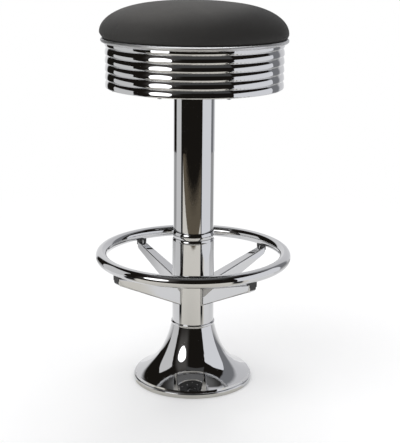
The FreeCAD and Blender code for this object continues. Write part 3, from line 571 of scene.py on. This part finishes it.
def foam():
    material, tree, shader = new_material("foam")
    place = object_place(tree)
    pores = cells(tree, place, FOAM_PORES_PER_METRE)
    stain = noise(tree, place, 22.0, detail=4.0, roughness=0.6)
    tone = mix(tree, stain, FOAM_FRESH, FOAM_YELLOWED)
    # Painted shade of the pores: the foam turns grey away from each pore's middle
    tone = mix(tree, spread(tree, pores, (0.1, 0.5), (0.0, 0.4)), tone, grey(0.3))
    feed(tree, shader.inputs["Base Color"], tone)
    feed(tree, shader.inputs["Roughness"], spread(tree, pores, (0.0, 0.6), (0.85, 1.0)))
    feed(tree, shader.inputs["Normal"], bump(tree, pores, FOAM_PORE_DEPTH))
    return material


VINYL_DARK = colour(0.0265, 0.0255, 0.0245)
# Painted sheen: the lighter tone of the patch on top
VINYL_PAINTED_SHEEN = colour(0.088, 0.0850, 0.0810)
# Painted shade: the darker tone in the creases of the grain
VINYL_CREASE_SHADE = grey(0.006)
VINYL_SPECULAR = 0.16
# The patch of painted sheen, lighter on top: how far left of the middle it lies, and its half width and half
# depth
SHEEN_SHIFT = 0.025
SHEEN_WIDE = 0.150
SHEEN_DEEP = 0.178
PEBBLES_PER_METRE = 820.0
PEBBLE_WOBBLE = 1.6 * MM
PEBBLE_DEPTH = 0.06 * MM
PORES_PER_METRE = 4200.0
PORE_DEPTH = 0.01 * MM


def vinyl_pebbles(tree, place):
    """1 on the pebbles of the grain and 0 in the creases between them."""
    wobble = add(tree, "ShaderNodeTexNoise")
    feed(tree, wobble.inputs["Vector"], place)
    wobble.inputs["Scale"].default_value = 260.0
    small = add(tree, "ShaderNodeVectorMath", operation="SCALE")
    feed(tree, small.inputs[0], wobble.outputs["Color"])
    small.inputs["Scale"].default_value = PEBBLE_WOBBLE
    warped = add(tree, "ShaderNodeVectorMath", operation="ADD")
    feed(tree, warped.inputs[0], place)
    feed(tree, warped.inputs[1], small.outputs[0])
    edges = cells(tree, warped.outputs[0], PEBBLES_PER_METRE, "DISTANCE_TO_EDGE")
    return spread(tree, edges, (0.0, 0.28), smooth=True)


def sheen_patch(tree, place):
    """The share of painted sheen: 1 in the middle of the sheen patch, and little outside it."""
    x, y = separate(tree, place)[:2]
    across = math_node(tree, "DIVIDE", math_node(tree, "ADD", x, SHEEN_SHIFT), SHEEN_WIDE)
    back = math_node(tree, "DIVIDE", y, SHEEN_DEEP)
    return spread(tree, sum_of_squares(tree, across, back), (0.45, 1.15), (1.0, 0.12), smooth=True)


def vinyl():
    """Black upholstery vinyl: a pebbled grain of small cells with painted shade in the creases between, and
    a painted sheen on top.
    """
    material, tree, shader = new_material("black_vinyl")
    shader.inputs["Specular IOR Level"].default_value = VINYL_SPECULAR
    place = object_place(tree)
    pebbles = vinyl_pebbles(tree, place)
    pores = noise(tree, place, PORES_PER_METRE, detail=2.0)
    patches = noise(tree, place, 14.0, detail=4.0, roughness=0.55, distortion=0.4)
    # Painted sheen: a lighter patch on top, broken up by patchy noise
    painted_sheen = math_node(tree, "MULTIPLY", sheen_patch(tree, place), spread(tree, patches, (0.35, 0.65), (0.7, 1.0)))
    tone = mix(tree, painted_sheen, VINYL_DARK, VINYL_PAINTED_SHEEN)
    # Painted shade darkens the creases between the pebbles
    tone = mix(tree, spread(tree, pebbles, (0.0, 0.5), (0.25, 0.0)), tone, VINYL_CREASE_SHADE)
    feed(tree, shader.inputs["Base Color"], tone)
    finish = spread(tree, patches, NOISE_RANGE, (0.52, 0.62))
    creased = spread(tree, pebbles, (0.0, 0.6), (0.14, 0.0))
    feed(tree, shader.inputs["Roughness"], math_node(tree, "ADD", finish, creased))
    feed(tree, shader.inputs["Normal"], bump(tree, pores, PORE_DEPTH, bump(tree, pebbles, PEBBLE_DEPTH)))
    return material


def make_materials():
    """Every material slot of the record, by its name."""
    return {
        "chrome_bell": chrome("chrome_bell", "spun"),
        "chrome_column": chrome("chrome_column", "drawn"),
        "chrome_footrest": chrome("chrome_footrest", "rolled", stepped_on=True),
        "chrome_band": chrome("chrome_band", "rolled", rubbed_above=ROLLED_EDGE_BOTTOM),
        "black_plastic": moulded("black_plastic", grey(0.012), grey(0.022), 0.42),
        "white_nylon": moulded("white_nylon", colour(0.80, 0.79, 0.73), colour(0.70, 0.68, 0.60), 0.5),
        "black_steel": moulded("black_steel", grey(0.018), grey(0.034), 0.38,
                               per_metre=420.0, depth=0.06 * MM),
        "mill_steel": bare_metal("mill_steel", grey(0.34), colour(0.16, 0.145, 0.13), 0.42),
        "bearing_steel": bare_metal("bearing_steel", grey(0.60), grey(0.50), 0.18,
                                    brushed=(1.0, 1.0, 30.0), depth=0.004 * MM),
        "zinc_plate": bare_metal("zinc_plate", colour(0.62, 0.63, 0.64), colour(0.46, 0.46, 0.44), 0.3),
        "brass_cage": bare_metal("brass_cage", colour(0.68, 0.50, 0.22), colour(0.44, 0.30, 0.11), 0.33),
        "bronze": bare_metal("bronze", colour(0.52, 0.34, 0.16), colour(0.30, 0.18, 0.08), 0.4),
        "seal_rubber": moulded("seal_rubber", grey(0.014), grey(0.026), 0.62),
        "plywood": plywood("plywood", colour(0.62, 0.46, 0.28), colour(0.42, 0.28, 0.14),
                           colour(0.30, 0.19, 0.10), 0.6),
        "black_ply": plywood("black_ply", grey(0.030), grey(0.014), grey(0.008), 0.55),
        "foam": foam(),
        "black_vinyl": vinyl(),
    }


def dress_cad(materials):
    for part in frame["record"]["subparts"]:
        mesh = cad[part["node"]].data
        mesh.materials.clear()
        mesh.materials.append(materials[part["material_slot"]])


# Cushion: foam under vinyl, drawn down tight into the rolled edge of the band

CUSHION_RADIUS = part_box("cushion_cover")[1].x
CUSHION_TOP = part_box("cushion_cover")[1].z
BEAD_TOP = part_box("seat_band")[1].z
WIDEST_Z = 702.0 * MM
TUCK_RADIUS = 176.2 * MM
DOME_RISE = CUSHION_TOP - WIDEST_Z
SIDE_DROP = WIDEST_Z - BEAD_TOP
DOME_SIDE_POWER = 2.95
DOME_TOP_POWER = 1.97
DOME_RINGS = 40
TUCK_RINGS = 6
SPOKES = 180
# The cover starts a little small, and swells
START_INSET = 1.0 * MM
REMESH_SIZE = 5.0 * MM
TUCK_HELD = 5.0 * MM
SWELL_CAP = 5.0 * MM
CLOTH_FRAMES = 20
CLOTH = {
    "quality": 6,
    "mass": 0.4,
    "tension_stiffness": 25.0,
    "compression_stiffness": 25.0,
    "bending_stiffness": 3.0,
    "use_pressure": True,
    "uniform_pressure_force": 4.0,
}
RELAX_FACTOR = 0.5
RELAX_TURNS = 4
# How far the cover may lie inside and outside the dome
SETTLE_IN = 0.9 * MM
SETTLE_OUT = 0.6 * MM
# How far its left and right edges are pulled to the left, and how far the right edge sinks
PULL_LEFT = 4.2 * MM
PULL_RIGHT = 2.0 * MM
LEAN = 0.8 * MM
# Below the widest point, the part beyond this radius is the side wall, and the rest is the flat underside
WALL_FROM = 170.0 * MM
SIZE_SEARCH_STEPS = 24


def circle(build, radius, height):
    """Adds a ring of points round the axis."""
    ring = []
    for spoke in range(SPOKES):
        turn = 2.0 * math.pi * spoke / SPOKES
        ring.append(build.verts.new((radius * math.cos(turn), radius * math.sin(turn), height)))
    return ring


def dome_profile(inset):
    """Radius and height from the crown out to the widest point, then in to the tuck on the bead."""
    radius = CUSHION_RADIUS - inset
    rise = DOME_RISE - inset
    points = []
    for step in range(1, DOME_RINGS + 1):
        share = math.sin(0.5 * math.pi * step / DOME_RINGS)
        lift = (1.0 - share ** DOME_SIDE_POWER) ** (1.0 / DOME_TOP_POWER)
        points.append((radius * share, WIDEST_Z + rise * lift))
    for step in range(1, TUCK_RINGS + 1):
        share = step / TUCK_RINGS
        pull = (radius - TUCK_RADIUS + inset) * share ** 2
        points.append((radius - pull, WIDEST_Z - SIDE_DROP * share))
    return points


def dome_mesh(inset):
    build = bmesh.new()
    crown = build.verts.new((0.0, 0.0, CUSHION_TOP - inset))
    rings = [circle(build, radius, height) for radius, height in dome_profile(inset)]
    for spoke in range(SPOKES):
        after = (spoke + 1) % SPOKES
        build.faces.new((crown, rings[0][spoke], rings[0][after]))
        for upper, lower in zip(rings, rings[1:]):
            build.faces.new((upper[spoke], lower[spoke], lower[after], upper[after]))
    build.faces.new(list(reversed(rings[-1])))
    bmesh.ops.recalc_face_normals(build, faces=build.faces)
    return build


def apply_modifiers(piece):
    graph = bpy.context.evaluated_depsgraph_get()
    mesh = bpy.data.meshes.new_from_object(piece.evaluated_get(graph))
    piece.modifiers.clear()
    piece.data = mesh


def clamped(value):
    """Keeps a value between 0 and 1."""
    return min(max(value, 0.0), 1.0)


def swell(piece):
    """Inflates the cover a little over the foam, and keeps the tucked edge where it is."""
    start = [vertex.co.copy() for vertex in piece.data.vertices]
    tucked = piece.vertex_groups.new(name="tucked")
    for vertex in piece.data.vertices:
        grip = 1.0 - clamped((vertex.co.z - BEAD_TOP) / TUCK_HELD)
        if grip > 0.0:
            tucked.add([vertex.index], grip, "REPLACE")
    cloth = piece.modifiers.new("swell", "CLOTH")
    for name, value in CLOTH.items():
        setattr(cloth.settings, name, value)
    cloth.settings.effector_weights.gravity = 0.0
    cloth.settings.vertex_group_mass = tucked.name
    cloth.point_cache.frame_start = 1
    cloth.point_cache.frame_end = CLOTH_FRAMES
    for step in range(1, CLOTH_FRAMES + 1):
        bpy.context.scene.frame_set(step)
    apply_modifiers(piece)
    bpy.context.scene.frame_set(1)
    for vertex, origin in zip(piece.data.vertices, start):
        move = vertex.co - origin
        if move.length > SWELL_CAP:
            vertex.co = origin + move * (SWELL_CAP / move.length)


def dome_size(out, up):
    """How large a dome of the same shape would be to pass through this point; 1 is the CAD cover."""
    small, large = 0.5, 2.0
    for _ in range(SIZE_SEARCH_STEPS):
        size = 0.5 * (small + large)
        share = (out / (size * CUSHION_RADIUS)) ** DOME_SIDE_POWER
        share += (up / (size * DOME_RISE)) ** DOME_TOP_POWER
        if share > 1.0:
            small = size
        else:
            large = size
    return size


def settle(piece):
    """Pulls the cover a little to the left and down on the right, as in the photograph, and holds it close
    to the dome there, so the foam never shows through it."""
    for vertex in piece.data.vertices:
        loose = clamped((vertex.co.z - BEAD_TOP) / SIDE_DROP)
        side = vertex.co.x / CUSHION_RADIUS
        vertex.co.x -= loose * (PULL_LEFT if side < 0.0 else PULL_RIGHT) * side ** 2
        vertex.co.z -= loose * LEAN * side
        pulled = PULL_LEFT * max(-side, 0.0) ** 2
        out = math.hypot(vertex.co.x, vertex.co.y)
        up = vertex.co.z - WIDEST_Z
        if up > 0.0:
            reach = math.hypot(out, up)
            on_dome = reach / dome_size(out, up)
            grow = min(max(reach, on_dome - SETTLE_IN), on_dome + SETTLE_OUT + pulled) / reach
            vertex.co.z = WIDEST_Z + up * grow
        elif out > WALL_FROM:
            wall = CUSHION_RADIUS - (CUSHION_RADIUS - TUCK_RADIUS) * (up / SIDE_DROP) ** 2
            grow = min(max(out, wall - SETTLE_IN), wall + SETTLE_OUT + loose * pulled) / out
        else:
            continue
        vertex.co.x *= grow
        vertex.co.y *= grow


def make_cushion(materials):
    inset = START_INSET
    piece = mesh_object("seat_cushion", dome_mesh(inset), materials["black_vinyl"])
    remesh = piece.modifiers.new("remesh", "REMESH")
    remesh.mode = "VOXEL"
    remesh.voxel_size = REMESH_SIZE
    apply_modifiers(piece)
    swell(piece)
    relax = piece.modifiers.new("relax", "SMOOTH")
    relax.factor = RELAX_FACTOR
    relax.iterations = RELAX_TURNS
    divide = piece.modifiers.new("divide", "SUBSURF")
    divide.levels = 1
    divide.render_levels = 1
    apply_modifiers(piece)
    settle(piece)
    for polygon in piece.data.polygons:
        polygon.use_smooth = True
    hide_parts("cushion_cover")
    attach(piece, "seat")
    return piece


COVER_THICK = 1.4 * MM
HEM_SLACK = 0.1 * MM
HEM_END_RADIUS = 145.0 * MM


def hem_outline():
    """Radius and height of the hem's corners, down the edge of the cushion board and in under it."""
    board_low, board_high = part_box("cushion_board")
    inside = board_high.x + HEM_SLACK
    outside = board_high.x + COVER_THICK
    under = board_low.z - HEM_SLACK
    bottom = board_low.z - COVER_THICK
    return [(outside, board_high.z), (inside, board_high.z), (inside, under),
            (HEM_END_RADIUS, under), (HEM_END_RADIUS, bottom), (outside, bottom)]


def make_hem(materials):
    """The part of the cover that is turned round the cushion board and stapled under it."""
    build = bmesh.new()
    rings = [circle(build, radius, height) for radius, height in hem_outline()]
    for ring, following in zip(rings, rings[1:] + rings[:1]):
        for spoke in range(SPOKES):
            after = (spoke + 1) % SPOKES
            build.faces.new((ring[spoke], following[spoke], following[after], ring[after]))
    bmesh.ops.recalc_face_normals(build, faces=build.faces)
    hem = mesh_object("cover_hem", build, materials["black_vinyl"])
    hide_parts("cushion_cover")
    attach(hem, "seat")


bpy.context.scene.view_settings.view_transform = "Standard"
make_camera()
make_world()
make_floor()
for name, card in CARDS.items():
    make_card(name, **card)
for name, sun in SUNS.items():
    make_sun(name, **sun)
materials = make_materials()
dress_cad(materials)
cushion = make_cushion(materials)
make_hem(materials)
# The overhead gives the rolled edge of the band its white line, and the other lamp the cushion its sheen
only_for(make_overhead(), cad["seat_band"])
only_for(make_sun("cushion_lamp", **CUSHION_LAMP), cushion)
